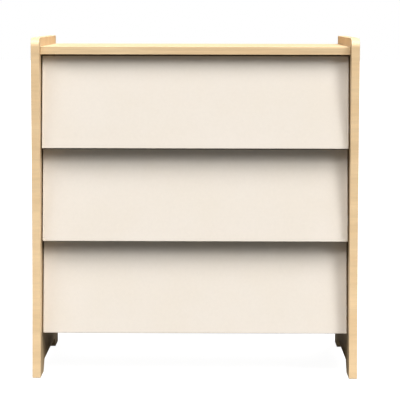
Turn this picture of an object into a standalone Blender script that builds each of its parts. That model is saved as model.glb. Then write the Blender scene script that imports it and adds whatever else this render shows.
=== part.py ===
"""Changing table: a chest with three drawers between two side boards.

Metres, +Z up. The front faces -Y. The origin is on the floor, below the middle of the whole object.
"""

import math

import bmesh
import bpy
from mathutils import Matrix, Vector

# Overall sizes
WIDTH = 0.900
DEPTH_AT_TOP = 0.480
FOOT_FLARE = 0.025  # how far the side boards' front edge comes forward at the floor
HEIGHT = 0.943
FLARE_START = 0.620  # below this height the front edge curves forward
FLARE_STEPS = 8

# Side boards
SIDE_THICKNESS = 0.023
GUARD_CORNER_RADIUS = 0.025
FRONT_FOOT_LENGTH = 0.078
REAR_FOOT_LENGTH = 0.075
ARCH_HEIGHT = 0.031
ARCH_SLOPE_LENGTH = 0.030
ARCH_CORNER_RADIUS = 0.010
GLIDE_RADIUS = 0.009
GLIDE_THICKNESS = 0.0022
GLIDE_CHAMFER = 0.0009
GLIDE_SETBACK = 0.035  # from the foot's end to the glide's centre

# Carcass panels
TOP_THICKNESS = 0.022
GUARD_HEIGHT = 0.0245  # the side boards' height above the top panel
TOP_SETBACK = 0.030
BOTTOM_THICKNESS = 0.016
BOTTOM_SETBACK = 0.068
BOTTOM_GAP = 0.009  # between the bottom panel and the lowest runner
BACK_THICKNESS = 0.0032
BACK_SETBACK = 0.0135  # from the side boards' rear edge to the back panel's rear face
GROOVE_DEPTH = 0.008
GROOVE_WIDTH = 0.004
RAIL_THICKNESS = 0.016
RAIL_HEIGHT = 0.058

# Drawer fronts
FRONT_COUNT = 3
UNDER_CLEARANCE = 0.121  # floor to the lowest front's lower edge
REVEAL = 0.004  # the line between two fronts
FRONT_SIDE_GAP = 0.0035
FRONT_THICKNESS = 0.018
FRONT_SETBACK = 0.018  # lower edge of each front, behind the side boards' upper front edge
FRONT_LEAN = 0.032  # how far each front's upper edge stands behind its lower edge

# Drawer boxes
BOX_WALL = 0.012
BOX_LIFT = 0.045  # from the front's lower edge to the box's lower edge
BOX_TOP_DROP = 0.0595  # from the front's upper edge down to the box sides' upper edge
BOX_BACK_DROP = 0.012  # the box back's upper edge, below the sides'
BOX_REAR_GAP = 0.0233  # between the box and the back panel
BOX_BOTTOM_THICKNESS = 0.0032
BOX_GROOVE_LIFT = 0.010
BOX_GROOVE_DEPTH = 0.005
SLIDE_SPACE = 0.0125  # between a side board and a drawer box

# Runners and rollers
RUNNER_FRONT_GAP = 0.0073  # behind the drawer front
RUNNER_REAR_GAP = 0.008  # from the runners' rear end to the box's rear face
RUNNER_STEEL = 0.0012
RUNNER_LIP = 0.0046
RUNNER_LIP_GAP = 0.0013  # above the drawer runner's shelf
RUNNER_TRACK_GAP = 0.0009  # between the cabinet runner's track and the drawer runner
RUNNER_SHELF_GAP = 0.0025  # between the drawer runner's shelf and the cabinet runner
RUNNER_LEG = 0.011  # the drawer runner's leg under the box side
RUNNER_DROP = 0.0019  # the cabinet runner's underside, below the drawer runner's
ROLLER_RADIUS = 0.011
ROLLER_CHAMFER = 0.0008
ROLLER_PLAY = 0.0015  # between a roller's pin head and the runner opposite
ROLLER_END_DISTANCE = 0.016  # from a runner's end to its roller's axis
PIN_RADIUS = 0.0024
PIN_HEAD_RADIUS = 0.0040
PIN_HEAD_THICKNESS = 0.0008
ROLLER_BORE_RADIUS = 0.0030

# Fittings
CAM_RADIUS = 0.0075
CAM_DEPTH = 0.0125
CAM_INSET = 0.034  # from the side board's inner face to the cam's centre
CAM_FRONT_INSET = 0.070
CAM_REAR_INSET = 0.050
CAM_SLOT_WIDTH = 0.0022
CAM_SLOT_DEPTH = 0.0020
CAM_SLOT_LENGTH = 0.0105
BOLT_RADIUS = 0.0030
BOLT_HEAD_RADIUS = 0.0045
BOLT_HEAD_LENGTH = 0.003
BOLT_IN_SIDE = 0.011
PLATE_WIDTH = 0.044
PLATE_HEIGHT = 0.030
PLATE_STEEL = 0.002
PLATE_LEDGE = 0.008
PLATE_HOLE_SPACING = 0.024
SCREW_RADIUS = 0.0018
SCREW_HEAD_RADIUS = 0.0036
SCREW_HEAD_HEIGHT = 0.0020
SCREW_LENGTH = 0.016
SCREW_TIP = 0.003

CLEARANCE = 0.0003  # between pieces that touch
EDGE_RADIUS = 0.0012  # small rounding of the boards' edges
CUT_MARGIN = 0.001  # how far a cutter reaches out of the piece that it cuts

# Worked out from the sizes above
INNER_HALF = WIDTH / 2 - SIDE_THICKNESS
FRONT_Y = -(DEPTH_AT_TOP + FOOT_FLARE) / 2 + FOOT_FLARE
REAR_Y = FRONT_Y + DEPTH_AT_TOP
SIDE_BOTTOM_Z = GLIDE_THICKNESS + CLEARANCE
TOP_SURFACE_Z = HEIGHT - GUARD_HEIGHT
TOP_UNDERSIDE_Z = TOP_SURFACE_Z - TOP_THICKNESS
FRONT_PITCH = (TOP_UNDERSIDE_Z - UNDER_CLEARANCE) / FRONT_COUNT
FRONT_HEIGHT = FRONT_PITCH - REVEAL
LEAN = FRONT_LEAN / FRONT_HEIGHT
BOX_HEIGHT = FRONT_HEIGHT - BOX_LIFT - BOX_TOP_DROP
BACK_REAR_Y = REAR_Y - BACK_SETBACK
BACK_FRONT_Y = BACK_REAR_Y - BACK_THICKNESS
BACK_MIDDLE_Y = (BACK_REAR_Y + BACK_FRONT_Y) / 2
BOX_REAR_Y = BACK_FRONT_Y - BOX_REAR_GAP
WEB_DEPTH = CLEARANCE + RUNNER_STEEL  # from a side board, or from a drawer box, to a runner's far side
RUNNER_TRACK = SLIDE_SPACE - 2 * WEB_DEPTH - RUNNER_TRACK_GAP
ROLLER_WIDTH = SLIDE_SPACE - 2 * WEB_DEPTH - PIN_HEAD_THICKNESS - 2 * CLEARANCE - ROLLER_PLAY
AXIS_HEIGHT = RUNNER_STEEL + CLEARANCE + ROLLER_RADIUS  # roller axes, above the cabinet runner's underside
SHELF_HEIGHT = AXIS_HEIGHT + ROLLER_RADIUS + CLEARANCE
RUNNER_HEIGHT = SHELF_HEIGHT + 2 * RUNNER_STEEL + RUNNER_LIP_GAP
RUNNER_LIFT = BOX_LIFT - WEB_DEPTH - RUNNER_DROP  # from a front's lower edge to its cabinet runner
RUNNER_TOP_SETBACK = FRONT_SETBACK + LEAN * (RUNNER_LIFT + RUNNER_HEIGHT)
RUNNER_Y = FRONT_Y + RUNNER_TOP_SETBACK + FRONT_THICKNESS + RUNNER_FRONT_GAP
RUNNER_END_Y = BOX_REAR_Y - RUNNER_REAR_GAP
BOTTOM_TOP_Z = UNDER_CLEARANCE + RUNNER_LIFT - BOTTOM_GAP

SIDES = {"left": -1, "right": 1}


def clear_scene():
    for obj in list(bpy.data.objects):
        bpy.data.objects.remove(obj, do_unlink=True)


def material(name, color, roughness, metallic=0.0):
    made = bpy.data.materials.new(name)
    made.use_nodes = True
    shader = made.node_tree.nodes["Principled BSDF"]
    shader.inputs["Base Color"].default_value = (*color, 1.0)
    shader.inputs["Roughness"].default_value = roughness
    shader.inputs["Metallic"].default_value = metallic
    made.diffuse_color = (*color, 1.0)
    return made


def add_object(name, mesh_builder, finish, origin=(0.0, 0.0, 0.0)):
    """Make an object from a bmesh given in world coordinates, with its origin at the given point."""
    bmesh.ops.remove_doubles(mesh_builder, verts=mesh_builder.verts, dist=1e-6)
    bmesh.ops.recalc_face_normals(mesh_builder, faces=mesh_builder.faces)
    bmesh.ops.translate(mesh_builder, verts=mesh_builder.verts, vec=-Vector(origin))
    mesh = bpy.data.meshes.new(name)
    mesh_builder.to_mesh(mesh)
    mesh_builder.free()
    mesh.materials.append(finish)
    obj = bpy.data.objects.new(name, mesh)
    obj.location = origin
    bpy.context.collection.objects.link(obj)
    return obj


def box(low, high):
    made = bmesh.new()
    size = Vector(high) - Vector(low)
    middle = (Vector(high) + Vector(low)) / 2
    bmesh.ops.create_cube(made, size=1.0, matrix=Matrix.Translation(middle) @ Matrix.Diagonal((*size, 1.0)))
    return made


def prism(outline, axis, low, high):
    """Extrude a closed outline along an axis. Its pairs are coordinates on the other two axes, in order."""
    made = bmesh.new()
    along = "xyz".index(axis)

    def point(pair, distance):
        coordinates = list(pair)
        coordinates.insert(along, distance)
        return coordinates

    face = made.faces.new([made.verts.new(point(pair, low)) for pair in outline])
    grown = bmesh.ops.extrude_face_region(made, geom=[face])
    moved = [item for item in grown["geom"] if isinstance(item, bmesh.types.BMVert)]
    shift = [0.0, 0.0, 0.0]
    shift[along] = high - low
    bmesh.ops.translate(made, verts=moved, vec=shift)
    return made


def turned(profile, centre, direction, segments):
    """Turn a closed profile of (distance along the axis, radius) round an axis through the centre."""
    made = bmesh.new()
    turn = Vector((0, 0, 1)).rotation_difference(Vector(direction)).to_matrix().to_4x4()
    place = Matrix.Translation(centre) @ turn
    rings = []
    for along, radius in profile:
        if radius == 0:
            rings.append([made.verts.new(place @ Vector((0, 0, along)))])
            continue
        ring = []
        for step in range(segments):
            angle = 2 * math.pi * step / segments
            point = Vector((radius * math.cos(angle), radius * math.sin(angle), along))
            ring.append(made.verts.new(place @ point))
        rings.append(ring)
    closed = profile[0][1] > 0 and profile[-1][1] > 0
    pairs = list(zip(rings, rings[1:] + rings[:1])) if closed else list(zip(rings, rings[1:]))
    for first, second in pairs:
        for step in range(segments):
            after = (step + 1) % segments
            corners = [first[step % len(first)], second[step % len(second)]]
            if len(second) > 1:
                corners.append(second[after])
            if len(first) > 1:
                corners.append(first[after])
            made.faces.new(corners)
    return made


def rod(start, direction, length, radius, segments=24):
    return turned([(0, 0), (0, radius), (length, radius), (length, 0)], start, direction, segments)


def arc(centre, radius, start_degrees, end_degrees, steps):
    points = []
    for step in range(steps + 1):
        angle = math.radians(start_degrees + (end_degrees - start_degrees) * step / steps)
        points.append((centre[0] + radius * math.cos(angle), centre[1] + radius * math.sin(angle)))
    return points


def rounded_corner(before, corner, after, radius, steps=3):
    """Points of an arc that rounds the corner between two straight runs."""
    corner = Vector(corner)
    to_before = (Vector(before) - corner).normalized()
    to_after = (Vector(after) - corner).normalized()
    half = to_before.angle(to_after) / 2
    centre = corner + (to_before + to_after).normalized() * radius / math.sin(half)
    first = corner + to_before * radius / math.tan(half) - centre
    last = corner + to_after * radius / math.tan(half) - centre
    turn = math.atan2(first.x * last.y - first.y * last.x, first.dot(last))
    points = []
    for step in range(steps + 1):
        angle = turn * step / steps
        cosine, sine = math.cos(angle), math.sin(angle)
        x = centre.x + first.x * cosine - first.y * sine
        y = centre.y + first.x * sine + first.y * cosine
        points.append((x, y))
    return points


def cut(obj, cutter_mesh, name):
    """Take the cutter's shape away from the object."""
    cutter = add_object(name, cutter_mesh, obj.data.materials[0])
    cutter.hide_render = True
    cutter.display_type = "WIRE"
    change = obj.modifiers.new(name, "BOOLEAN")
    change.operation = "DIFFERENCE"
    change.solver = "EXACT"
    change.object = cutter


def fuse(obj, added_mesh, name):
    """Join a further shape to the object, as one solid."""
    added = add_object(name, added_mesh, obj.data.materials[0])
    added.hide_render = True
    added.display_type = "WIRE"
    change = obj.modifiers.new(name, "BOOLEAN")
    change.operation = "UNION"
    change.solver = "EXACT"
    change.object = added


def round_edges(obj, width=EDGE_RADIUS):
    change = obj.modifiers.new("rounded_edges", "BEVEL")
    change.width = width
    change.segments = 2
    change.limit_method = "ANGLE"
    change.angle_limit = math.radians(50)


def smooth(obj):
    obj.data.shade_smooth()
    obj.data.set_sharp_from_angle(angle=math.radians(35))


def side_outline():
    """The side board seen from the side, as (y, z) points."""
    points = [(REAR_Y, SIDE_BOTTOM_Z), (REAR_Y, HEIGHT)]
    centre = (FRONT_Y + GUARD_CORNER_RADIUS, HEIGHT - GUARD_CORNER_RADIUS)
    points += arc(centre, GUARD_CORNER_RADIUS, 90, 180, 6)
    for step in range(FLARE_STEPS + 1):
        fall = step / FLARE_STEPS
        height = FLARE_START - fall * (FLARE_START - SIDE_BOTTOM_Z)
        points.append((FRONT_Y - FOOT_FLARE * fall**2, height))
    front_end = FRONT_Y - FOOT_FLARE + FRONT_FOOT_LENGTH
    rear_end = REAR_Y - REAR_FOOT_LENGTH
    arch_top = SIDE_BOTTOM_Z + ARCH_HEIGHT
    foot = (front_end, SIDE_BOTTOM_Z)
    arch_front = (front_end + ARCH_SLOPE_LENGTH, arch_top)
    arch_rear = (rear_end - ARCH_SLOPE_LENGTH, arch_top)
    rear_foot = (rear_end, SIDE_BOTTOM_Z)
    points.append(foot)
    points += rounded_corner(foot, arch_front, arch_rear, ARCH_CORNER_RADIUS)
    points += rounded_corner(arch_front, arch_rear, rear_foot, ARCH_CORNER_RADIUS)
    points.append(rear_foot)
    return points


def glide_places():
    return {
        "front": FRONT_Y - FOOT_FLARE + GLIDE_SETBACK,
        "rear": REAR_Y - GLIDE_SETBACK,
    }


def cam_places():
    return {"front": FRONT_Y + CAM_FRONT_INSET, "rear": REAR_Y - CAM_REAR_INSET}


def bolt_height():
    return TOP_UNDERSIDE_Z + TOP_THICKNESS / 2


def across(side, inward):
    """The x of a point that lies inward of a side board's inner face."""
    return side * (INNER_HALF - inward)


def side_board(word, side, finish):
    outer = side * WIDTH / 2
    inner = side * INNER_HALF
    shape = prism(side_outline(), "x", min(outer, inner), max(outer, inner))
    board = add_object(f"side_{word}", shape, finish)
    round_edges(board)
    groove = [inner - side * CLEARANCE, inner + side * GROOVE_DEPTH]
    low = (min(groove), BACK_MIDDLE_Y - GROOVE_WIDTH / 2, BOTTOM_TOP_Z - BOTTOM_THICKNESS - CLEARANCE)
    high = (max(groove), BACK_MIDDLE_Y + GROOVE_WIDTH / 2, TOP_UNDERSIDE_Z + GROOVE_DEPTH)
    cut(board, box(low, high), f"cutter_groove_{word}")
    for place, y in cam_places().items():
        start = (inner - side * CUT_MARGIN, y, bolt_height())
        length = CUT_MARGIN + BOLT_IN_SIDE + CLEARANCE
        hole = rod(start, (side, 0, 0), length, BOLT_RADIUS + CLEARANCE, 16)
        cut(board, hole, f"cutter_bolt_{place}_{word}")


def top_panel(finish):
    edge = INNER_HALF - CLEARANCE
    low = (-edge, FRONT_Y + TOP_SETBACK, TOP_UNDERSIDE_Z)
    high = (edge, REAR_Y, TOP_SURFACE_Z)
    panel = add_object("top_panel", box(low, high), finish)
    round_edges(panel)
    groove_low = (-WIDTH / 2, BACK_MIDDLE_Y - GROOVE_WIDTH / 2, TOP_UNDERSIDE_Z - CUT_MARGIN)
    groove_high = (WIDTH / 2, BACK_MIDDLE_Y + GROOVE_WIDTH / 2, TOP_UNDERSIDE_Z + GROOVE_DEPTH)
    cut(panel, box(groove_low, groove_high), "cutter_top_groove")
    for word, side in SIDES.items():
        for place, y in cam_places().items():
            under = (across(side, CAM_INSET), y, TOP_UNDERSIDE_Z - CUT_MARGIN)
            pocket = rod(under, (0, 0, 1), CUT_MARGIN + CAM_DEPTH + CLEARANCE, CAM_RADIUS + CLEARANCE)
            cut(panel, pocket, f"cutter_cam_{place}_{word}")
            end = (across(side, -CUT_MARGIN), y, bolt_height())
            bore = rod(end, (-side, 0, 0), CUT_MARGIN + CAM_INSET, BOLT_HEAD_RADIUS + CLEARANCE, 16)
            cut(panel, bore, f"cutter_bore_{place}_{word}")


def cam_fittings(finish, bolt_finish):
    """A cam lock in a pocket below the top panel, and the bolt that it draws in from the side board."""
    for word, side in SIDES.items():
        for place, y in cam_places().items():
            x = across(side, CAM_INSET)
            base = TOP_UNDERSIDE_Z + CLEARANCE
            body = rod((x, y, base), (0, 0, 1), CAM_DEPTH - CLEARANCE, CAM_RADIUS)
            lock = add_object(f"cam_lock_{place}_{word}", body, finish)
            slot_low = (x - CAM_SLOT_LENGTH / 2, y - CAM_SLOT_WIDTH / 2, base - CUT_MARGIN)
            slot_high = (x + CAM_SLOT_LENGTH / 2, y + CAM_SLOT_WIDTH / 2, base + CAM_SLOT_DEPTH)
            cut(lock, box(slot_low, slot_high), f"cutter_cam_slot_{place}_{word}")
            start = across(side, -BOLT_IN_SIDE)
            # The bolt's head stops at the cam's rim.
            reach = BOLT_IN_SIDE + CAM_INSET - CAM_RADIUS - CLEARANCE
            profile = [
                (0, 0),
                (0, BOLT_RADIUS),
                (reach - BOLT_HEAD_LENGTH, BOLT_RADIUS),
                (reach - BOLT_HEAD_LENGTH, BOLT_HEAD_RADIUS),
                (reach, BOLT_HEAD_RADIUS),
                (reach, 0),
            ]
            bolt = turned(profile, (start, y, bolt_height()), (-side, 0, 0), 16)
            smooth(add_object(f"cam_bolt_{place}_{word}", bolt, bolt_finish))


def bottom_panel(finish):
    edge = INNER_HALF - CLEARANCE
    low = (-edge, FRONT_Y + BOTTOM_SETBACK, BOTTOM_TOP_Z - BOTTOM_THICKNESS)
    high = (edge, BACK_FRONT_Y - CLEARANCE, BOTTOM_TOP_Z)
    round_edges(add_object("bottom_panel", box(low, high), finish))


def screw_places():
    return {"left": -PLATE_HOLE_SPACING / 2, "right": PLATE_HOLE_SPACING / 2}


def screw_height():
    return TOP_UNDERSIDE_Z - RAIL_HEIGHT / 2


def screw_hole(x):
    start = (x, REAR_Y, screw_height())
    return rod(start, (0, -1, 0), BACK_SETBACK + SCREW_LENGTH, SCREW_RADIUS + CLEARANCE, 16)


def back_panel(finish):
    edge = INNER_HALF + GROOVE_DEPTH - CLEARANCE
    low = (-edge, BACK_FRONT_Y, BOTTOM_TOP_Z - BOTTOM_THICKNESS)
    high = (edge, BACK_REAR_Y, TOP_UNDERSIDE_Z + GROOVE_DEPTH - CLEARANCE)
    panel = add_object("back_panel", box(low, high), finish)
    for word, x in screw_places().items():
        cut(panel, screw_hole(x), f"cutter_back_screw_{word}")


def rear_rail(finish):
    edge = INNER_HALF - CLEARANCE
    rear = BACK_FRONT_Y - CLEARANCE
    low = (-edge, rear - RAIL_THICKNESS, TOP_UNDERSIDE_Z - CLEARANCE - RAIL_HEIGHT)
    high = (edge, rear, TOP_UNDERSIDE_Z - CLEARANCE)
    rail = add_object("rear_rail", box(low, high), finish)
    round_edges(rail)
    for word, x in screw_places().items():
        cut(rail, screw_hole(x), f"cutter_rail_screw_{word}")


def wall_plate(finish, screw_finish):
    """An angle behind the back panel, held by two screws in the rear rail."""
    face = BACK_REAR_Y + CLEARANCE
    middle = screw_height()
    top = middle + PLATE_HEIGHT / 2
    outline = [
        (face, middle - PLATE_HEIGHT / 2),
        (face + PLATE_STEEL, middle - PLATE_HEIGHT / 2),
        (face + PLATE_STEEL, top - PLATE_STEEL),
        (face + PLATE_LEDGE, top - PLATE_STEEL),
        (face + PLATE_LEDGE, top),
        (face, top),
    ]
    plate = add_object("wall_plate", prism(outline, "x", -PLATE_WIDTH / 2, PLATE_WIDTH / 2), finish)
    seat = face + PLATE_STEEL + CLEARANCE
    for word, x in screw_places().items():
        cut(plate, screw_hole(x), f"cutter_plate_screw_{word}")
        profile = [
            (SCREW_LENGTH, 0),
            (SCREW_LENGTH - SCREW_TIP, SCREW_RADIUS),
            (0, SCREW_RADIUS),
            (0, SCREW_HEAD_RADIUS),
            (-SCREW_HEAD_HEIGHT / 2, SCREW_HEAD_RADIUS),
            (-SCREW_HEAD_HEIGHT, SCREW_HEAD_RADIUS / 2),
            (-SCREW_HEAD_HEIGHT, 0),
        ]
        screw = turned(profile, (x, seat, middle), (0, -1, 0), 16)
        smooth(add_object(f"wall_plate_screw_{word}", screw, screw_finish))


def glides(finish):
    for word, side in SIDES.items():
        x = side * (WIDTH / 2 - SIDE_THICKNESS / 2)
        for place, y in glide_places().items():
            profile = [
                (0, 0),
                (0, GLIDE_RADIUS - GLIDE_CHAMFER),
                (GLIDE_CHAMFER, GLIDE_RADIUS),
                (GLIDE_THICKNESS, GLIDE_RADIUS),
                (GLIDE_THICKNESS, 0),
            ]
            smooth(add_object(f"glide_{place}_{word}", turned(profile, (x, y, 0), (0, 0, 1), 24), finish))


def front_face_y(lift):
    """The front face's y at a height above the front's lower edge."""
    return FRONT_Y + FRONT_SETBACK + LEAN * lift


def behind_front_y(lift):
    return front_face_y(lift) + FRONT_THICKNESS


def axis_y(on_drawer):
    return RUNNER_END_Y - ROLLER_END_DISTANCE if on_drawer else RUNNER_Y + ROLLER_END_DISTANCE


def web_face(on_drawer):
    """Where a runner's web faces the slide space, measured in from the side board."""
    return SLIDE_SPACE - WEB_DEPTH if on_drawer else WEB_DEPTH


def roller(name, side, base_z, on_drawer, finish):
    """A roller on its pin. Cabinet rollers sit near the side board, drawer rollers near the drawer box."""
    web = web_face(on_drawer)
    start = web - CLEARANCE - ROLLER_WIDTH if on_drawer else web + CLEARANCE
    rim = ROLLER_RADIUS - ROLLER_CHAMFER
    profile = [
        (0, ROLLER_BORE_RADIUS),
        (0, rim),
        (ROLLER_CHAMFER, ROLLER_RADIUS),
        (ROLLER_WIDTH - ROLLER_CHAMFER, ROLLER_RADIUS),
        (ROLLER_WIDTH, rim),
        (ROLLER_WIDTH, ROLLER_BORE_RADIUS),
    ]
    centre = Vector((across(side, start), axis_y(on_drawer), base_z + AXIS_HEIGHT))
    made = add_object(name, turned(profile, centre, (-side, 0, 0), 20), finish, centre)
    smooth(made)
    return made


def runner_pin(side, base_z, on_drawer):
    """A headed pin that grows out of a runner's web."""
    reach = ROLLER_WIDTH + 2 * CLEARANCE
    root = RUNNER_STEEL / 2
    profile = [
        (-root, 0),
        (-root, PIN_RADIUS),
        (reach, PIN_RADIUS),
        (reach, PIN_HEAD_RADIUS),
        (reach + PIN_HEAD_THICKNESS, PIN_HEAD_RADIUS),
        (reach + PIN_HEAD_THICKNESS, 0),
    ]
    direction = side if on_drawer else -side
    centre = (across(side, web_face(on_drawer)), axis_y(on_drawer), base_z + AXIS_HEIGHT)
    return turned(profile, centre, (direction, 0, 0), 16)


def cabinet_runner(number, word, side, base_z, finish):
    """A channel on the side board: a track for the drawer's roller, a web and an upper lip."""
    pairs = [
        (CLEARANCE, 0),
        (WEB_DEPTH + RUNNER_TRACK, 0),
        (WEB_DEPTH + RUNNER_TRACK, RUNNER_STEEL),
        (WEB_DEPTH, RUNNER_STEEL),
        (WEB_DEPTH, RUNNER_HEIGHT - RUNNER_STEEL),
        (WEB_DEPTH + RUNNER_LIP, RUNNER_HEIGHT - RUNNER_STEEL),
        (WEB_DEPTH + RUNNER_LIP, RUNNER_HEIGHT),
        (CLEARANCE, RUNNER_HEIGHT),
    ]
    outline = [(across(side, inward), base_z + height) for inward, height in pairs]
    name = f"cabinet_runner_{number}_{word}"
    made = add_object(name, prism(outline, "y", RUNNER_Y, RUNNER_END_Y), finish)
    fuse(made, runner_pin(side, base_z, False), f"pin_of_{name}")


def drawer_runner(number, word, side, base_z, finish, parent):
    """On the drawer box: a shelf that rides on the cabinet's roller, a web, and a leg under the box."""
    web = web_face(True)
    leg_end = web + RUNNER_STEEL + RUNNER_LEG
    shelf_end = WEB_DEPTH + RUNNER_SHELF_GAP
    pairs = [
        (web, RUNNER_DROP),
        (leg_end, RUNNER_DROP),
        (leg_end, RUNNER_DROP + RUNNER_STEEL),
        (web + RUNNER_STEEL, RUNNER_DROP + RUNNER_STEEL),
        (web + RUNNER_STEEL, SHELF_HEIGHT + RUNNER_STEEL),
        (shelf_end, SHELF_HEIGHT + RUNNER_STEEL),
        (shelf_end, SHELF_HEIGHT),
        (web, SHELF_HEIGHT),
    ]
    outline = [(across(side, inward), base_z + height) for inward, height in pairs]
    name = f"drawer_runner_{number}_{word}"
    made = add_object(name, prism(outline, "y", RUNNER_Y, RUNNER_END_Y), finish)
    fuse(made, runner_pin(side, base_z, True), f"pin_of_{name}")
    attach(made, parent)


def attach(obj, parent):
    """Parent an object and leave it where it is."""
    place = obj.matrix_world.copy() if obj.parent else Matrix.Translation(obj.location)
    obj.parent = parent
    obj.matrix_parent_inverse = Matrix.Translation(parent.location).inverted()
    obj.matrix_basis = place


def drawer_front(number, base_z, finish, parent):
    half = INNER_HALF - FRONT_SIDE_GAP
    outline = [
        (front_face_y(0), base_z),
        (behind_front_y(0), base_z),
        (behind_front_y(FRONT_HEIGHT), base_z + FRONT_HEIGHT),
        (front_face_y(FRONT_HEIGHT), base_z + FRONT_HEIGHT),
    ]
    made = add_object(f"drawer_{number}_front", prism(outline, "x", -half, half), finish)
    round_edges(made)
    attach(made, parent)


def lean_front_end(made, base_z):
    """Move a drawer wall's front end back on to the leaning face behind the drawer front."""
    middle = (FRONT_Y + BOX_REAR_Y) / 2
    for vertex in made.verts:
        if vertex.co.y < middle:
            vertex.co.y = behind_front_y(vertex.co.z - base_z) + CLEARANCE


def drawer_box(number, base_z, finish, bottom_finish, parent):
    low = base_z + BOX_LIFT
    groove_low = low + BOX_GROOVE_LIFT
    groove_high = groove_low + BOX_BOTTOM_THICKNESS + 2 * CLEARANCE
    outer = INNER_HALF - SLIDE_SPACE
    inner = outer - BOX_WALL
    for word, side in SIDES.items():
        pairs = [
            (outer, low),
            (outer, low + BOX_HEIGHT),
            (inner, low + BOX_HEIGHT),
            (inner, groove_high),
            (inner + BOX_GROOVE_DEPTH, groove_high),
            (inner + BOX_GROOVE_DEPTH, groove_low),
            (inner, groove_low),
            (inner, low),
        ]
        wall = prism([(side * x, z) for x, z in pairs], "y", FRONT_Y, BOX_REAR_Y)
        lean_front_end(wall, base_z)
        attach(add_object(f"drawer_{number}_side_{word}", wall, finish), parent)
    bottom_z = groove_low + CLEARANCE
    back_low = (CLEARANCE - inner, BOX_REAR_Y - BOX_WALL, bottom_z + BOX_BOTTOM_THICKNESS + CLEARANCE)
    back_high = (inner - CLEARANCE, BOX_REAR_Y, low + BOX_HEIGHT - BOX_BACK_DROP)
    attach(add_object(f"drawer_{number}_back", box(back_low, back_high), finish), parent)
    half = inner + BOX_GROOVE_DEPTH - CLEARANCE
    bottom = box((-half, FRONT_Y, bottom_z), (half, BOX_REAR_Y, bottom_z + BOX_BOTTOM_THICKNESS))
    lean_front_end(bottom, base_z)
    attach(add_object(f"drawer_{number}_bottom", bottom, bottom_finish), parent)


def drawer(number, finishes):
    base_z = UNDER_CLEARANCE + (FRONT_COUNT - number) * FRONT_PITCH
    slide = bpy.data.objects.new(f"drawer_{number}_slide", None)
    slide.location = (0, front_face_y(0), base_z)
    bpy.context.collection.objects.link(slide)
    runner_z = base_z + RUNNER_LIFT
    drawer_front(number, base_z, finishes["cream_lacquer"], slide)
    drawer_box(number, base_z, finishes["drawer_wood"], finishes["hardboard"], slide)
    for word, side in SIDES.items():
        cabinet_runner(number, word, side, runner_z, finishes["runner_steel"])
        roller(f"cabinet_roller_{number}_{word}", side, runner_z, False, finishes["roller_nylon"])
        drawer_runner(number, word, side, runner_z, finishes["runner_steel"], slide)
        turning = roller(f"drawer_roller_{number}_{word}", side, runner_z, True, finishes["roller_nylon"])
        attach(turning, slide)


def main():
    clear_scene()
    finishes = {
        "light_wood": material("light_wood", (0.84, 0.62, 0.36), 0.45),
        "cream_lacquer": material("cream_lacquer", (0.86, 0.82, 0.74), 0.40),
        "drawer_wood": material("drawer_wood", (0.80, 0.66, 0.46), 0.55),
        "hardboard": material("hardboard", (0.82, 0.78, 0.70), 0.60),
        "runner_steel": material("runner_steel", (0.85, 0.85, 0.84), 0.35, 0.0),
        "roller_nylon": material("roller_nylon", (0.75, 0.75, 0.74), 0.45),
        "glide_plastic": material("glide_plastic", (0.55, 0.50, 0.44), 0.60),
        "fitting_zinc": material("fitting_zinc", (0.62, 0.62, 0.62), 0.38, 1.0),
        "bolt_steel": material("bolt_steel", (0.60, 0.60, 0.62), 0.32, 1.0),
    }
    for word, side in SIDES.items():
        side_board(word, side, finishes["light_wood"])
    top_panel(finishes["light_wood"])
    bottom_panel(finishes["drawer_wood"])
    back_panel(finishes["hardboard"])
    rear_rail(finishes["drawer_wood"])
    cam_fittings(finishes["fitting_zinc"], finishes["bolt_steel"])
    wall_plate(finishes["fitting_zinc"], finishes["bolt_steel"])
    glides(finishes["glide_plastic"])
    for number in range(1, FRONT_COUNT + 1):
        drawer(number, finishes)


main()
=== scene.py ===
"""Looks for a changing table: a light-wood chest with three cream drawers, on a pale studio floor."""

import math
from contextlib import contextmanager

import bmesh
import bpy
from mathutils import Matrix, Vector


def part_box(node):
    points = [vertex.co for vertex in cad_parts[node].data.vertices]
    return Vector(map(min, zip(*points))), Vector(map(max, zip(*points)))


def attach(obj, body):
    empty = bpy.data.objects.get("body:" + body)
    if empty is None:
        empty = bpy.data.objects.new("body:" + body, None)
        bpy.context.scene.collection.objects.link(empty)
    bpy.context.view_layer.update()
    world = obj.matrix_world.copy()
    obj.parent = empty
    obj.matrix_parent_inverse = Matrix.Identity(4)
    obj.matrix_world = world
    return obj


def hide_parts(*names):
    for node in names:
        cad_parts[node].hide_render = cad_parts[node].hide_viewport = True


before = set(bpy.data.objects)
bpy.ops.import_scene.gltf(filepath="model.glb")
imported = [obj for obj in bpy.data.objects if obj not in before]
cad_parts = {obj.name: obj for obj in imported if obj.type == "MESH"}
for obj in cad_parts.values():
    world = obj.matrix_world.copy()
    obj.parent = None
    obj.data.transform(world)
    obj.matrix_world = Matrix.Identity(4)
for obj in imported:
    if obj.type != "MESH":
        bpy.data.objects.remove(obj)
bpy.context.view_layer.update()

SIDES = {"left": -1, "right": 1}
DRAWERS = (1, 2, 3)

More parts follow.
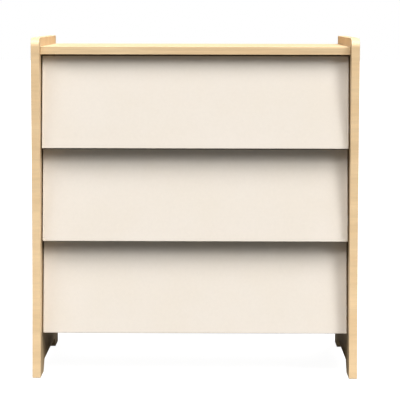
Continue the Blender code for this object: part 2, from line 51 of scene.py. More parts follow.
# Carcass
DEPTH = 0.480  # of the side boards, above the flare
LIPPING = 0.0016  # thickness of the wood strips glued on the boards' front edges
GUARD_RADIUS = 0.025
FLARE = 0.025  # how far the side boards come forward at the floor
FLARE_START = 0.620
FLARE_STEPS = 14
FRONT_FOOT = 0.078
REAR_FOOT = 0.075
ARCH_HEIGHT = 0.031
ARCH_SLOPE = 0.030
ARCH_ROUNDING = 0.0042
EDGE = 0.0012  # rounding of the boards' edges
STRIP_EDGE = 0.0010  # rounding of the top panel's front strip
GROOVE = 0.008
GROOVE_PLAY = 0.0004  # on each side of the back panel
BOLT_HOLE = 0.0033  # radius, in the side boards
BOLT_HOLE_DEPTH = 0.0113
BOLT_BORE = 0.0048  # radius, in the top panel
CAM_POCKET = 0.0078
CLEARANCE = 0.0003  # between pieces that touch
CUT_MARGIN = 0.001  # how far a cutter reaches out of the piece that it cuts

# Drawers and runners
LEAN = 0.032  # how far a front's upper edge stands behind its lower edge
FRONT_THICKNESS = 0.018
FRONT_EDGE = 0.0016
SLIDE_SPACE = 0.0125  # between a side board and a drawer box
WEB = 0.0015  # from a side board, or from a drawer box, to a runner's far side

# Rollers
ROLLER_EDGE = 0.0007
ROLLER_BORE = 0.0029
RIM = 0.0016
HOLLOW = 0.0028  # width of the ring between rim and hub
HOLLOW_DEPTH = 0.0011
HOLLOW_SLOPE = 0.0002

# Heads of screws, cams and nails: radius, and how far they stand proud
SCREW = (0.0031, 0.0006)
CAM = (0.0074, 0.0008)
NAIL = (0.0013, 0.0006)
HEAD_ROUNDING = 0.6  # share of the height that stands proud
RECESS_DEPTH = 0.825  # share of the same height
RECESS_LENGTH = 1.05  # share of the radius
RECESS_WIDTH = 0.26
NAIL_ROUNDING = 0.0003

# Places of the heads: shares of a runner's length, then lengths
CABINET_RUNNER_SCREWS = (0.22, 0.55, 0.93)
DRAWER_RUNNER_SCREWS = (0.06, 0.42, 0.76)
CABINET_SCREW_LIFT = 0.0125
DRAWER_SCREW_LIFT = 0.0128
CAM_SETBACK = 0.050  # from the front end of a drawer's side
CAM_LIFTS = (0.055, 0.118)
CORNER_INSET = 0.006  # from the rear end of a drawer's side
CORNER_LIFTS = (0.035, 0.110)
NAILS_IN_ROW = 9
NAIL_SPACING = 0.1
NAIL_ROW_START = -0.4
RAIL_NAIL_LIFT = 0.018

# Softened edges of the kept pieces
SOFT_PLY = 0.0007
SOFT_STEEL = 0.0002

# Studio
LIGHT_SPREAD = 18  # degrees across a light's disc
LIGHTS = {  # degrees across, degrees of height, and strength
    "low_right_light": (45, 30, 0.60),
    "middle_light": (0, 42, 0.22),
    "front_light": (0, 54, 1.15),
    "right_light": (40, 54, 1.40),
    "high_left_light": (-50, 65, 1.55),
    "high_right_light": (50, 65, 1.38),
    "high_light": (10, 76, 0.60),
    "rear_right_light": (156, 28, 0.72),
    "rear_left_light": (-162, 32, 0.42),
}
FILL = 0.02
FLOOR_SIZE = 60.0
FLOOR_GLOW = 0.96
LENS = 144.26
CAMERA_SHIFT = -0.075
CAMERA_PLACE = (0.0438, -4.3904, 1.0084)  # y is from the side boards' front edge
YAW, DOWN, ROLL = 0.00686, 0.09711, 0.00175

side_low, side_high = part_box("side_right")
top_low, top_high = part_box("top_panel")
INNER = side_low.x
OUTER = side_high.x
REAR = side_high.y
FOOT = side_low.z
GUARD_TOP = side_high.z
FRONT = REAR - DEPTH


# ---------------------------------------------------------------- modelling by hand


def start_fresh():
    if bpy.context.mode != "OBJECT":
        bpy.ops.object.mode_set(mode="OBJECT")
    bpy.ops.object.select_all(action="DESELECT")


def take(piece):
    """Make a piece the active one, with nothing else selected."""
    start_fresh()
    piece.select_set(True)
    bpy.context.view_layer.objects.active = piece


def settle(name):
    """Name the new piece, and move its place and size into its mesh."""
    piece = bpy.context.object
    piece.name = name
    take(piece)
    bpy.ops.object.transform_apply(location=True, rotation=True, scale=True)
    return piece


def block(name, low, high):
    start_fresh()
    low, high = Vector(low), Vector(high)
    bpy.ops.mesh.primitive_cube_add(size=1.0, location=(low + high) / 2, scale=high - low)
    return settle(name)


def round_bar(name, centre, radius, length, axis, sides):
    """A round bar from its middle point, along the x or z axis."""
    start_fresh()
    bpy.ops.mesh.primitive_cylinder_add(
        vertices=sides, radius=radius, depth=length, location=centre,
        rotation=(0, math.pi / 2 if axis == "x" else 0, 0),
    )
    return settle(name)


def drill(start, end, radius, axis, sides):
    """A round cutter from one point to another, along the x or z axis."""
    start, end = Vector(start), Vector(end)
    return round_bar("drill", (start + end) / 2, radius, (end - start).length, axis, sides)


@contextmanager
def editing(piece):
    take(piece)
    bpy.ops.object.mode_set(mode="EDIT")
    yield
    bpy.ops.object.mode_set(mode="OBJECT")


def pick(piece, kind, wanted):
    """Select the faces, edges or vertices that the test wants, and nothing else."""
    bpy.ops.mesh.select_mode(type=kind)
    bpy.ops.mesh.select_all(action="DESELECT")
    shape = bmesh.from_edit_mesh(piece.data)
    shape.normal_update()
    for part in {"VERT": shape.verts, "EDGE": shape.edges, "FACE": shape.faces}[kind]:
        if wanted(part):
            part.select_set(True)
    bmesh.update_edit_mesh(piece.data)


def slice_at(point, normal):
    bpy.ops.mesh.select_all(action="SELECT")
    bpy.ops.mesh.bisect(plane_co=point, plane_no=normal, threshold=1e-6)


def move(x=0.0, y=0.0, z=0.0):
    bpy.ops.transform.translate(value=(x, y, z))


def tidy_normals():
    bpy.ops.mesh.select_all(action="SELECT")
    bpy.ops.mesh.remove_doubles(threshold=1e-6)
    bpy.ops.mesh.normals_make_consistent(inside=False)


def near(a, b, within=2e-5):
    return abs(a - b) < within


def middle_of(edge):
    return (edge.verts[0].co + edge.verts[1].co) / 2


def is_sharp(edge, degrees=35):
    return len(edge.link_faces) == 2 and edge.calc_face_angle(0) > math.radians(degrees)


def cut_with(piece, cutters):
    """Cut pieces out of another, then throw the cutters away."""
    for cutter in cutters:
        take(piece)
        change = piece.modifiers.new("cut", "BOOLEAN")
        change.operation = "DIFFERENCE"
        change.solver = "EXACT"
        change.object = cutter
        bpy.ops.object.modifier_apply(modifier=change.name)
        bpy.data.objects.remove(cutter, do_unlink=True)


def smooth(piece):
    """Shade the rounded edges softly, and keep the faces between them flat."""
    take(piece)
    bpy.ops.object.shade_smooth_by_angle(angle=math.radians(32))
    change = piece.modifiers.new("even_light", "WEIGHTED_NORMAL")
    change.keep_sharp = True
    bpy.ops.object.modifier_apply(modifier=change.name)


def finish_piece(piece, finish, body, replaced=()):
    """Give a finished piece its material, and let it ride on its body."""
    smooth(piece)
    piece.data.materials.clear()
    piece.data.materials.append(finish)
    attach(piece, body)
    if replaced:
        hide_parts(*replaced)


# ---------------------------------------------------------------- materials


class Finish:
    """A material in the making: its nodes, and the shader that they feed."""

    def __init__(self, name):
        self.material = bpy.data.materials.new(name)
        self.material.use_nodes = True
        self.nodes = self.material.node_tree.nodes
        self.links = self.material.node_tree.links
        self.shader = self.nodes["Principled BSDF"].inputs

    def feed(self, socket, value):
        """Link a node's output to a socket, or set the socket to a number or colour."""
        if isinstance(value, bpy.types.NodeSocket):
            self.links.new(value, socket)
        else:
            socket.default_value = (*value, 1.0) if isinstance(value, tuple) else value

    def place(self, stretch=(1, 1, 1), offset=(0, 0, 0)):
        """The piece's own coordinates, stretched and shifted."""
        place = self.nodes.new("ShaderNodeTexCoord")
        mapping = self.nodes.new("ShaderNodeMapping")
        mapping.inputs["Location"].default_value = offset
        mapping.inputs["Scale"].default_value = stretch
        self.links.new(place.outputs["Object"], mapping.inputs["Vector"])
        return mapping.outputs["Vector"]

    def axes(self, kind):
        """The X, Y and Z of the piece's own coordinates (Object) or of its faces (Normal)."""
        place = self.nodes.new("ShaderNodeTexCoord")
        split = self.nodes.new("ShaderNodeSeparateXYZ")
        self.links.new(place.outputs[kind], split.inputs["Vector"])
        return split.outputs

    def noise(self, place, scale, detail, roughness=0.5, distortion=0.0):
        made = self.nodes.new("ShaderNodeTexNoise")
        made.inputs["Scale"].default_value = scale
        made.inputs["Detail"].default_value = detail
        made.inputs["Roughness"].default_value = roughness
        made.inputs["Distortion"].default_value = distortion
        self.links.new(place, made.inputs["Vector"])
        return made.outputs["Fac"]

    def ramp(self, value, *stops):
        """Two colours that pass softly into each other, each at its place from 0 to 1."""
        made = self.nodes.new("ShaderNodeValToRGB")
        made.color_ramp.interpolation = "EASE"
        for element, (place, color) in zip(made.color_ramp.elements, stops):
            element.position = place
            element.color = (*color, 1.0)
        self.links.new(value, made.inputs["Fac"])
        return made.outputs["Color"]

    def mix(self, factor, first, second, kind="MIX"):
        made = self.nodes.new("ShaderNodeMix")
        made.data_type = "RGBA"
        made.blend_type = kind
        for socket, value in ((0, factor), (6, first), (7, second)):
            self.feed(made.inputs[socket], value)
        return made.outputs[2]

    def shaded(self, color, shade, *more):
        """A colour made lighter or darker by the product of its shades."""
        for other in more:
            shade = self.arithmetic("MULTIPLY", shade, other)
        return self.mix(1.0, color, shade, "MULTIPLY")

    def remap(self, value, low, high, to_low, to_high):
        made = self.nodes.new("ShaderNodeMapRange")
        self.links.new(value, made.inputs["Value"])
        made.inputs["From Min"].default_value = low
        made.inputs["From Max"].default_value = high
        made.inputs["To Min"].default_value = to_low
        made.inputs["To Max"].default_value = to_high
        return made.outputs["Result"]

    def arithmetic(self, operation, first, second=0.0):
        made = self.nodes.new("ShaderNodeMath")
        made.operation = operation
        self.feed(made.inputs[0], first)
        self.feed(made.inputs[1], second)
        return made.outputs["Value"]

    def done(self, color, roughness, relief, depth, coat=None):
        """Feed the shader, and hand over the material. A coat is its weight and roughness."""
        self.links.new(color, self.shader["Base Color"])
        self.links.new(roughness, self.shader["Roughness"])
        bump = self.nodes.new("ShaderNodeBump")
        bump.inputs["Strength"].default_value = 1.0
        bump.inputs["Distance"].default_value = depth
        self.links.new(relief, bump.inputs["Height"])
        self.links.new(bump.outputs["Normal"], self.shader["Normal"])
        if coat:
            self.shader["Coat Weight"].default_value = coat[0]
            self.shader["Coat Roughness"].default_value = coat[1]
        return self.material


def along(axis, grain, across):
    """Scales that stretch a pattern along the grain's axis."""
    return tuple(grain if letter == axis else across for letter in "xyz")


def tinted(color, share):
    return tuple(part * share for part in color)


WOOD_COAT = (0.12, 0.32)
LACQUER_COAT = (0.25, 0.30)


def wood(name, light, dark, grain, offset=(0, 0, 0), figure=1.0):
    """Pale wood: soft growth streaks, fine fibres and short ray flecks along one axis."""
    made = Finish(name)
    broad = made.noise(made.place(along(grain, 0.55, 6.5), offset), 3.0, 4, 0.55, 0.9)
    streak = made.noise(made.place(along(grain, 1.3, 42.0), offset), 4.0, 5, 0.62, 0.3)
    fibre = made.noise(made.place(along(grain, 9.0, 260.0), offset), 5.0, 3, 0.6)
    flecks = made.noise(made.place(along(grain, 34.0, 210.0), offset), 4.0, 2)
    tone = made.ramp(broad, (0.30, dark), (0.72, light))
    soft = made.remap(streak, 0.35, 0.68, 1.0 - 0.085 * figure, 1.0 + 0.035 * figure)
    fine = made.remap(fibre, 0.3, 0.7, 1.0 - 0.035 * figure, 1.0 + 0.02 * figure)
    speck = made.remap(flecks, 0.60, 0.78, 1.0, 0.90)
    roughness = made.remap(fibre, 0.25, 0.75, 0.40, 0.54)
    relief = made.arithmetic("ADD", fibre, flecks)
    return made.done(made.shaded(tone, soft, fine, speck), roughness, relief, 0.00005, WOOD_COAT)


def edge_wood(name, light, dark):
    """Wood strip whose figure runs across the strip, as narrow soft bands along its length."""
    made = Finish(name)
    wide = made.noise(made.place((1.2, 9.0, 9.0)), 1.6, 3, 0.55, 0.4)
    band = made.noise(made.place((5.0, 60.0, 60.0)), 1.5, 4, 0.6, 0.25)
    fibre = made.noise(made.place((60.0, 620.0, 620.0)), 1.0, 3, 0.6)
    tone = made.ramp(wide, (0.30, dark), (0.70, light))
    soft = made.remap(band, 0.32, 0.68, 0.94, 1.045)
    fine = made.remap(fibre, 0.3, 0.7, 0.965, 1.02)
    roughness = made.remap(fibre, 0.25, 0.75, 0.41, 0.54)
    return made.done(made.shaded(tone, soft, fine), roughness, fibre, 0.00004, WOOD_COAT)


def lacquer(name, color):
    """Satin cream lacquer on board: barely uneven in tone, with the fine ripple of a sprayed coat."""
    made = Finish(name)
    place = made.place()
    cloud = made.noise(place, 5.0, 4, 0.6)
    mottle = made.noise(place, 120.0, 3, 0.6)
    ripple = made.noise(place, 420.0, 2)
    red, green, blue = color
    warm = (red, green * 0.993, blue * 0.975)
    tone = made.ramp(cloud, (0.32, warm), (0.70, tinted(color, 1.012)))
    shade = made.remap(mottle, 0.3, 0.7, 0.985, 1.01)
    roughness = made.remap(mottle, 0.2, 0.8, 0.36, 0.48)
    return made.done(made.shaded(tone, shade), roughness, ripple, 0.00004, LACQUER_COAT)


def plywood(name, light, dark, grain, layer_axis, layers_per_metre):
    """Birch plywood: long grain on its faces, thin layers on its edges."""
    made = Finish(name)
    broad = made.noise(made.place(along(grain, 0.6, 8.0)), 3.0, 4, 0.55, 0.8)
    streak = made.noise(made.place(along(grain, 1.5, 60.0)), 4.0, 4, 0.6)
    fibre = made.noise(made.place(along(grain, 10.0, 300.0)), 5.0, 3, 0.6)
    tone = made.ramp(broad, (0.30, dark), (0.70, light))
    soft = made.remap(streak, 0.33, 0.67, 0.93, 1.03)
    fine = made.remap(fibre, 0.3, 0.7, 0.965, 1.02)
    face = made.shaded(tone, soft, fine)
    run = made.arithmetic("MULTIPLY", made.axes("Object")[layer_axis], layers_per_metre)
    wave = made.arithmetic("PINGPONG", run, 1.0)
    layer = made.ramp(wave, (0.35, tinted(dark, 0.62)), (0.65, light))
    facing = made.arithmetic("ABSOLUTE", made.axes("Normal")[layer_axis])
    on_face = made.remap(facing, 0.55, 0.8, 0.0, 1.0)
    roughness = made.remap(fibre, 0.25, 0.75, 0.45, 0.60)
    return made.done(made.mix(on_face, layer, face), roughness, fibre, 0.00006)


def fibreboard(name, painted, raw):
    """Hardboard: one painted face, and a raw brown face with matted fibres."""
    made = Finish(name)
    place = made.place()
    fibres = made.noise(place, 380.0, 5, 0.7, 0.8)
    cloud = made.noise(place, 9.0, 4, 0.6)
    brown = made.ramp(fibres, (0.28, tinted(raw, 0.66)), (0.72, tinted(raw, 1.2)))
    brown = made.shaded(brown, made.remap(cloud, 0.3, 0.7, 0.92, 1.06))
    pale = made.shaded(painted, made.remap(cloud, 0.3, 0.7, 0.98, 1.01))
    facing = made.axes("Normal")
    is_raw = made.remap(
        made.arithmetic("SUBTRACT", facing["Y"], facing["Z"]), 0.2, 0.6, 0.0, 1.0
    )
    roughness = made.remap(is_raw, 0.0, 1.0, 0.45, 0.82)
    relief = made.arithmetic("MULTIPLY", fibres, is_raw)
    return made.done(made.mix(is_raw, pale, brown), roughness, relief, 0.0002)


def coated_steel(name, color):
    """Steel with a baked white coat: slightly uneven gloss and a soft orange peel."""
    made = Finish(name)
    place = made.place()
    cloud = made.noise(place, 35.0, 3, 0.6)
    peel = made.noise(place, 900.0, 2)
    dust = made.noise(made.place((90, 12, 90)), 3.0, 4, 0.65)
    uneven = made.remap(cloud, 0.3, 0.7, 0.97, 1.01)
    dusty = made.remap(dust, 0.55, 0.8, 1.0, 0.93)
    roughness = made.remap(cloud, 0.2, 0.8, 0.28, 0.42)
    return made.done(made.shaded(color, uneven, dusty), roughness, peel, 0.00003)


def plastic(name, color, roughness):
    """Moulded plastic with a fine matt skin."""
    made = Finish(name)
    place = made.place()
    cloud = made.noise(place, 60.0, 3, 0.6)
    skin = made.noise(place, 1500.0, 2)
    shade = made.remap(cloud, 0.3, 0.7, 0.95, 1.03)
    gloss = made.remap(skin, 0.2, 0.8, roughness - 0.06, roughness + 0.06)
    return made.done(made.shaded(color, shade), gloss, skin, 0.00003)


def metal(name, color, roughness, grain):
    """Plated metal: cloudy plating with fine pits or turning marks."""
    made = Finish(name)
    place = made.place()
    cloud = made.noise(place, 180.0, 4, 0.6)
    pits = made.noise(place, grain, 3, 0.6)
    shade = made.remap(cloud, 0.3, 0.7, 0.86, 1.05)
    gloss = made.remap(cloud, 0.2, 0.8, roughness - 0.08, roughness + 0.12)
    made.shader["Metallic"].default_value = 1.0
    return made.done(made.shaded(color, shade), gloss, pits, 0.00005)


WOOD = ((0.845, 0.632, 0.372), (0.762, 0.535, 0.300))  # light, dark
STRIP = ((0.835, 0.612, 0.358), (0.772, 0.549, 0.308))
PLY = ((0.74, 0.60, 0.41), (0.64, 0.49, 0.31))
CREAM = (0.758, 0.693, 0.616)

board_wood = wood("light_wood_upright", *WOOD, "z")
top_wood = wood("light_wood_lengthwise", *WOOD, "x", offset=(0.3, 0.1, 0))
strip_wood = edge_wood("light_wood_strip", *STRIP)
top_strip_wood = wood("light_wood_top_strip", *WOOD, "x", offset=(0.1, 0.7, 0.2), figure=1.3)
cream_lacquer = lacquer("cream_lacquer", CREAM)
side_ply = plywood("drawer_wood_sides", *PLY, "y", "X", 800.0)
back_ply = plywood("drawer_wood_backs", *PLY, "x", "Y", 800.0)
flat_ply = plywood("drawer_wood_panels", *PLY, "x", "Z", 700.0)
hardboard = fibreboard("hardboard", (0.78, 0.74, 0.65), (0.30, 0.19, 0.105))
runner_coat = coated_steel("runner_steel", (0.80, 0.80, 0.78))
nylon = plastic("roller_nylon", (0.70, 0.70, 0.68), 0.42)
glide_plastic = plastic("glide_plastic", (0.42, 0.36, 0.29), 0.6)
zinc = metal("fitting_zinc", (0.60, 0.60, 0.61), 0.36, 900.0)
bolt_steel = metal("bolt_steel", (0.62, 0.62, 0.65), 0.28, 1600.0)


# ---------------------------------------------------------------- side boards


def flare_levels():
    """Heights at which the front edge bends, and how far forward it comes there."""
    for step in range(FLARE_STEPS + 1):
        fall = step / FLARE_STEPS
        yield FLARE_START - fall * (FLARE_START - FOOT), -FLARE * fall**2


def slice_at_bends():
    for height, _ in flare_levels():
        if height > FOOT + 1e-4:
            slice_at((0, 0, height), (0, 0, 1))


def bend_front(piece, wanted):
    for height, shift in flare_levels():
        if shift:
            pick(piece, "VERT", lambda v: near(v.co.z, height) and wanted(v))
            move(y=shift)


def side_panel(word, side):
    low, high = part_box(f"side_{word}")
    front = FRONT + LIPPING
    top = GUARD_TOP - LIPPING
    panel = block(f"side_panel_{word}", (low.x, front, FOOT), (high.x, REAR, top))
    foot_end = FRONT - FLARE + FRONT_FOOT
    rear_foot = REAR - REAR_FOOT
    arch = (foot_end + ARCH_SLOPE, rear_foot - ARCH_SLOPE)
    arch_top = FOOT + ARCH_HEIGHT

    def in_arch(v):
        return near(v.co.z, FOOT) and arch[0] - 1e-4 < v.co.y < arch[1] + 1e-4

    def arch_corner(edge):
        ends = [v.co for v in edge.verts]
        return near(ends[0].y, ends[1].y) and all(
            near(end.z, arch_top) and min(abs(end.y - y) for y in arch) < 1e-4 for end in ends
        )

    def guard_corner(edge):
        return all(near(v.co.y, front) and near(v.co.z, top) for v in edge.verts)

    def under_strip(face):
        middle = face.calc_center_median()
        return face.normal.z > 0.3 or (face.normal.y < -0.3 and middle.y < FRONT + 0.01)

    with editing(panel):
        slice_at_bends()
        for y in (foot_end, *arch, rear_foot):
            slice_at((0, y, 0), (0, 1, 0))
        bend_front(panel, lambda v: near(v.co.y, front))
        pick(panel, "VERT", in_arch)
        move(z=ARCH_HEIGHT)
        pick(panel, "EDGE", arch_corner)
        bpy.ops.mesh.bevel(offset=ARCH_ROUNDING, segments=5)
        pick(panel, "EDGE", guard_corner)
        bpy.ops.mesh.bevel(offset=GUARD_RADIUS - LIPPING, segments=10)
        pick(panel, "EDGE", lambda e: is_sharp(e) and not any(under_strip(f) for f in e.link_faces))
        bpy.ops.mesh.bevel(offset=EDGE, segments=3)
        tidy_normals()

    back_low, back_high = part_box("back_panel")
    bottom_low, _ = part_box("bottom_panel")
    groove_x = sorted((side * (INNER - CUT_MARGIN), side * (INNER + GROOVE)))
    cutters = [
        block(
            "groove",
            (groove_x[0], back_low.y - GROOVE_PLAY, bottom_low.z - CLEARANCE),
            (groove_x[1], back_high.y + GROOVE_PLAY, top_low.z + GROOVE),
        )
    ]
    for place in ("front", "rear"):
        bolt_low, bolt_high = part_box(f"cam_bolt_{place}_{word}")
        _, y, z = (bolt_low + bolt_high) / 2
        mouth, end = side * (INNER - CUT_MARGIN), side * (INNER + BOLT_HOLE_DEPTH)
        cutters.append(drill((mouth, y, z), (end, y, z), BOLT_HOLE, "x", 24))
    cut_with(panel, cutters)
    finish_piece(panel, board_wood, "cabinet", [f"side_{word}"])


def side_strip(word):
    """The strip on a side board's front edge. It bends back along the guard's top."""
    low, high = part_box(f"side_{word}")
    bend_centre = Vector((0, FRONT + GUARD_RADIUS, GUARD_TOP - GUARD_RADIUS))
    strip = block(
        f"side_strip_{word}", (low.x, FRONT, FOOT), (high.x, FRONT + LIPPING, bend_centre.z)
    )

    def end_of_bend(face):
        return all(
            near(v.co.y, bend_centre.y, 1e-4) and v.co.z > bend_centre.z for v in face.verts
        )

    def on_side(face):
        return abs(face.normal.x) > 0.9

    def outside(face):
        normal, middle = face.normal, face.calc_center_median()
        if normal.y > 0.9:
            return near(middle.y, REAR, 1e-4)
        return normal.y < -0.2 or normal.z > 0.2 or normal.z < -0.9 and near(middle.z, FOOT, 1e-4)

    def outer_edge(edge):
        return (
            is_sharp(edge, 50)
            and all(on_side(f) or outside(f) for f in edge.link_faces)
            and any(outside(f) for f in edge.link_faces)
        )

    with editing(strip):
        slice_at_bends()
        bend_front(strip, lambda v: True)
        pick(strip, "FACE", lambda f: f.normal.z > 0.9)
        bpy.ops.mesh.spin(steps=10, angle=math.pi / 2, center=bend_centre, axis=(1, 0, 0))
        pick(strip, "FACE", end_of_bend)
        bpy.ops.mesh.extrude_region_move(
            TRANSFORM_OT_translate={"value": (0, REAR - bend_centre.y, 0)}
        )
        tidy_normals()
        pick(strip, "EDGE", outer_edge)
        bpy.ops.mesh.bevel(offset=EDGE, segments=3)
        tidy_normals()
    finish_piece(strip, strip_wood, "cabinet")


# ---------------------------------------------------------------- top panel


def top_board():
    """The top panel behind its front strip, with a groove for the back, and room for cams and bolts."""
    front = top_low.y + LIPPING
    board = block("top_board", (top_low.x, front, top_low.z), top_high)
    with editing(board):
        pick(board, "EDGE", lambda e: middle_of(e).y > front + 0.01)
        bpy.ops.mesh.bevel(offset=EDGE, segments=3)
        tidy_normals()

    back_low, back_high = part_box("back_panel")
    under = top_low.z - CUT_MARGIN
    cutters = [
        block(
            "groove",
            (-OUTER, back_low.y - GROOVE_PLAY, under),
            (OUTER, back_high.y + GROOVE_PLAY, top_low.z + GROOVE),
        )
    ]
    for word, side in SIDES.items():
        for place in ("front", "rear"):
            lock_low, lock_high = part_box(f"cam_lock_{place}_{word}")
            x, y, _ = (lock_low + lock_high) / 2
            roof = lock_high.z + CLEARANCE
            cutters.append(drill((x, y, under), (x, y, roof), CAM_POCKET, "z", 48))
            bolt_low, bolt_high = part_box(f"cam_bolt_{place}_{word}")
            height = (bolt_low.z + bolt_high.z) / 2
            mouth = side * (INNER + CUT_MARGIN)
            cutters.append(drill((x, y, height), (mouth, y, height), BOLT_BORE, "x", 24))
    cut_with(board, cutters)
    finish_piece(board, top_wood, "cabinet", ["top_panel"])

    strip = block("top_board_strip", top_low, (top_high.x, front, top_high.z))
    with editing(strip):
        pick(strip, "EDGE", lambda e: middle_of(e).y < top_low.y + LIPPING / 2 + 1e-5)
        bpy.ops.mesh.bevel(offset=STRIP_EDGE, segments=3)
        tidy_normals()
    finish_piece(strip, top_strip_wood, "cabinet")


# ---------------------------------------------------------------- drawer fronts


def drawer_face(number):
    """A front that leans back, on its drawer."""
    drawer = f"drawer_{number}"
    low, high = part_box(f"{drawer}_front")
    face = block(f"{drawer}_face", low, (high.x, low.y + FRONT_THICKNESS, high.z))
    with editing(face):
        pick(face, "FACE", lambda f: f.normal.z > 0.9)
        move(y=LEAN)
        pick(face, "EDGE", lambda e: True)
        bpy.ops.mesh.bevel(offset=FRONT_EDGE, segments=4)
        tidy_normals()
    finish_piece(face, cream_lacquer, drawer, [f"{drawer}_front"])


# ---------------------------------------------------------------- rollers


def roller(name, replaced):
    """A nylon wheel with a rounded tread, a hollow between rim and hub, and a bore."""
    low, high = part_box(replaced)
    middle = (low + high) / 2
    width = high.x - low.x
    wheel = round_bar(name, middle, (high.z - low.z) / 2, width, "x", 56)
    with editing(wheel):
        pick(wheel, "EDGE", lambda e: is_sharp(e, 50))
        bpy.ops.mesh.bevel(offset=ROLLER_EDGE, segments=3)
        for direction in (-1, 1):
            pick(wheel, "FACE", lambda f: f.normal.x * direction > 0.9 and len(f.verts) > 20)
            for ring, step in ((RIM, -HOLLOW_DEPTH), (HOLLOW, HOLLOW_DEPTH)):
                bpy.ops.mesh.inset(thickness=ring)
                bpy.ops.mesh.inset(thickness=HOLLOW_SLOPE)
                move(x=direction * step)
    cut_with(wheel, [round_bar("bore", middle, ROLLER_BORE, width * 2, "x", 32)])
    finish_piece(wheel, nylon, replaced, [replaced])


# ---------------------------------------------------------------- screws, cams and nails


def plain_head(name, radius, proud, sides, rounding):
    """A round head at the origin, seen from +X."""
    head = round_bar(name, (proud / 2, 0, 0), radius, proud, "x", sides)
    with editing(head):
        pick(head, "EDGE", lambda e: is_sharp(e, 50) and middle_of(e).x > proud / 2)
        bpy.ops.mesh.bevel(offset=rounding, segments=2)
    return head


def screw_head(name, radius, proud):
    """A round head with a cross recess."""
    head = plain_head(name, radius, proud, 28, proud * HEAD_ROUNDING)
    floor, above = proud - proud * RECESS_DEPTH, proud * 2
    long, short = radius * RECESS_LENGTH / 2, radius * RECESS_WIDTH / 2
    cut_with(head, [
        block("arm", (floor, -wide, -tall), (above, wide, tall))
        for wide, tall in ((long, short), (short, long))
    ])
    smooth(head)
    return head


def place_heads(model, places, finish):
    """Copy a head to each place, turned to its direction, each copy with its own mesh."""
    for name, centre, direction, spin, body in places:
        turn = Vector((1, 0, 0)).rotation_difference(Vector(direction)).to_matrix().to_4x4()
        head = model.copy()
        head.data = model.data.copy()
        head.name = name
        bpy.context.scene.collection.objects.link(head)
        head.data.transform(Matrix.Translation(centre) @ turn @ Matrix.Rotation(spin, 4, "X"))
        head.data.update()
        finish_piece(head, finish, body)


def runner_screws(number, word, side):
    """The screws through a drawer's two runners on one side, each turned a little further."""
    drawer = f"drawer_{number}"
    low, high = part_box(f"cabinet_runner_{number}_{word}")
    for step, share in enumerate(CABINET_RUNNER_SCREWS):
        centre = (side * (INNER - WEB), low.y + share * (high.y - low.y), low.z + CABINET_SCREW_LIFT)
        name = f"runner_screw_{number}_{word}_{step + 1}"
        yield name, centre, (-side, 0, 0), 0.3 + 0.7 * step, "cabinet"
    low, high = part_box(f"drawer_runner_{number}_{word}")
    web = side * (INNER - SLIDE_SPACE + WEB)
    for step, share in enumerate(DRAWER_RUNNER_SCREWS):
        centre = (web, low.y + share * (high.y - low.y), low.z + DRAWER_SCREW_LIFT)
        name = f"drawer_runner_screw_{number}_{word}_{step + 1}"
        yield name, centre, (side, 0, 0), 0.5 + 0.6 * step, drawer


def box_heads(number, word, side):
    """The cams and corner screws in a drawer's side, in pairs."""
    drawer = f"drawer_{number}"
    low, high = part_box(f"{drawer}_side_{word}")
    face = side * max(abs(low.x), abs(high.x))
    for step in range(2):
        cam = (face, low.y + CAM_SETBACK, low.z + CAM_LIFTS[step])
        corner = (face, high.y - CORNER_INSET, low.z + CORNER_LIFTS[step])
        place = f"{number}_{word}_{step + 1}"
        yield (
            (f"front_cam_{place}", cam, (side, 0, 0), 0.4 + step, drawer),
            (f"corner_screw_{place}", corner, (side, 0, 0), 0.2 + 0.9 * step, drawer),
        )


def back_nails():
    """Two rows of nails through the back panel, into the bottom panel and the rear rail."""
    _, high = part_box("back_panel")
    bottom_low, bottom_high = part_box("bottom_panel")
    rail_low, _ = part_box("rear_rail")
    rows = {"lower": (bottom_low.z + bottom_high.z) / 2, "upper": rail_low.z + RAIL_NAIL_LIFT}
    for row, height in rows.items():
        for step in range(NAILS_IN_ROW):
            centre = (NAIL_ROW_START + NAIL_SPACING * step, high.y, height)
            yield f"nail_{row}_{step + 1}", centre, (0, 1, 0), 0.0, "cabinet"


def fittings():
    screw = screw_head("screw_model", *SCREW)
    cam = screw_head("cam_model", *CAM)
    nail = plain_head("nail_model", *NAIL, 12, NAIL_ROUNDING)
    spots = [(number, word, side) for number in DRAWERS for word, side in SIDES.items()]
    in_runners = [place for spot in spots for place in runner_screws(*spot)]
    pairs = [pair for spot in spots for pair in box_heads(*spot)]
    in_corners = [corner for _, corner in pairs]
    place_heads(screw, in_runners + in_corners, bolt_steel)
    place_heads(cam, [cam_place for cam_place, _ in pairs], zinc)
    place_heads(nail, back_nails(), bolt_steel)
    for model in (screw, cam, nail):
        bpy.data.objects.remove(model, do_unlink=True)


# ---------------------------------------------------------------- kept CAD pieces

KEPT = (  # The first line whose word is in a piece's name gives its finish and its softened edge
    ("bottom_panel", flat_ply, 0),
    ("back_panel", hardboard, 0),
    ("rear_rail", back_ply, SOFT_PLY),
    ("screw", bolt_steel, 0),
    ("cam_bolt", bolt_steel, 0),
    ("cam_lock", zinc, 0),
    ("wall_plate", zinc, SOFT_STEEL),
    ("glide", glide_plastic, 0),
    ("runner", runner_coat, SOFT_STEEL),
    ("roller", nylon, 0),
    ("_side_", side_ply, SOFT_PLY),
    ("_back", back_ply, SOFT_PLY),
    ("_bottom", hardboard, 0),
    ("_front", cream_lacquer, 0),
    ("", board_wood, 0),
)


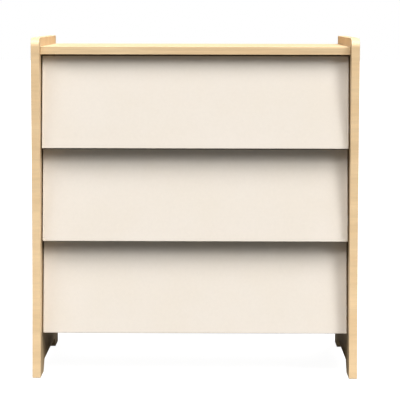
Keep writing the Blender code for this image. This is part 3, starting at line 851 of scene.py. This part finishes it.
def keep_cad_pieces():
    """Finish the CAD pieces that stay as they are."""
    for name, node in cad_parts.items():
        finish, softened = next(line[1:] for line in KEPT if line[0] in name)
        node.data.materials.clear()
        node.data.materials.append(finish)
        if softened:
            weld = node.modifiers.new("join", "WELD")
            weld.merge_threshold = 0.00001
            soften = node.modifiers.new("soften", "BEVEL")
            soften.width = softened
            soften.segments = 2
            soften.limit_method = "ANGLE"
            soften.angle_limit = math.radians(50)


# ---------------------------------------------------------------- studio


def far_light(name, across, height, strength):
    """A wide soft light far away. Across is from the front, and right is positive."""
    data = bpy.data.lights.new(name, "SUN")
    data.energy = strength
    data.angle = math.radians(LIGHT_SPREAD)
    lamp = bpy.data.objects.new(name, data)
    turn, rise = math.radians(across), math.radians(height)
    flat = math.cos(rise)
    way = Vector((math.sin(turn) * flat, -math.cos(turn) * flat, math.sin(rise)))
    lamp.location = way * 4
    lamp.rotation_euler = way.to_track_quat("Z", "Y").to_euler()
    bpy.context.scene.collection.objects.link(lamp)


def coloured(nodes, kind, color, strength=None):
    made = nodes.new(kind)
    made.inputs["Color"].default_value = (*color, 1)
    if strength is not None:
        made.inputs["Strength"].default_value = strength
    return made.outputs[0]


def seen_or_lit(tree, output, seen, lit):
    """Show the camera one shader, and let another light the object."""
    out = tree.nodes.new(output)
    mixed = tree.nodes.new("ShaderNodeMixShader")
    path = tree.nodes.new("ShaderNodeLightPath")
    tree.links.new(path.outputs["Is Camera Ray"], mixed.inputs["Fac"])
    tree.links.new(lit, mixed.inputs[1])
    tree.links.new(seen, mixed.inputs[2])
    tree.links.new(mixed.outputs[0], out.inputs["Surface"])


def studio_floor():
    start_fresh()
    bpy.ops.mesh.primitive_plane_add(size=FLOOR_SIZE, location=(0, 0, 0))
    floor = bpy.context.object
    floor.name = "floor"
    made = bpy.data.materials.new("pale_floor")
    made.use_nodes = True
    tree = made.node_tree
    tree.nodes.clear()
    pale = tree.nodes.new("ShaderNodeAddShader")
    glow = coloured(tree.nodes, "ShaderNodeEmission", (1, 1, 1), FLOOR_GLOW)
    matt = coloured(tree.nodes, "ShaderNodeBsdfDiffuse", (0.25, 0.25, 0.25))
    dull = coloured(tree.nodes, "ShaderNodeBsdfDiffuse", (0.12, 0.12, 0.115))
    tree.links.new(glow, pale.inputs[0])
    tree.links.new(matt, pale.inputs[1])
    seen_or_lit(tree, "ShaderNodeOutputMaterial", pale.outputs[0], dull)
    floor.data.materials.append(made)


def studio_air():
    world = bpy.data.worlds.new("studio")
    bpy.context.scene.world = world
    world.use_nodes = True
    tree = world.node_tree
    tree.nodes.clear()
    white = coloured(tree.nodes, "ShaderNodeBackground", (1, 1, 1), 1.0)
    dim = coloured(tree.nodes, "ShaderNodeBackground", (1.0, 0.99, 0.97), FILL)
    seen_or_lit(tree, "ShaderNodeOutputWorld", white, dim)


def camera():
    data = bpy.data.cameras.new("camera")
    data.sensor_width = 36.0
    data.lens = LENS
    data.shift_y = CAMERA_SHIFT
    data.clip_end = 200.0
    view = bpy.data.objects.new("camera", data)
    bpy.context.scene.collection.objects.link(view)
    view.location = Vector(CAMERA_PLACE) + Vector((0, FRONT, 0))
    level = math.cos(DOWN)
    forward = Vector((-math.sin(YAW) * level, math.cos(YAW) * level, -math.sin(DOWN)))
    right = Vector((math.cos(YAW), math.sin(YAW), 0))
    up = right.cross(forward)
    tilted_right = math.cos(ROLL) * right + math.sin(ROLL) * up
    tilted_up = -math.sin(ROLL) * right + math.cos(ROLL) * up
    view.rotation_euler = Matrix((tilted_right, tilted_up, -forward)).transposed().to_euler()
    bpy.context.scene.camera = view


def studio():
    scene = bpy.context.scene
    scene.view_settings.view_transform = "Standard"
    scene.view_settings.look = "None"
    for name, (across, height, strength) in LIGHTS.items():
        far_light(name, across, height, strength)
    studio_air()
    studio_floor()
    camera()


studio()
keep_cad_pieces()
for word, side in SIDES.items():
    side_panel(word, side)
    side_strip(word)
top_board()
for number in DRAWERS:
    drawer_face(number)
    for word in SIDES:
        for owner in ("cabinet", "drawer"):
            roller(f"{owner}_wheel_{number}_{word}", f"{owner}_roller_{number}_{word}")
fittings()

start_fresh()
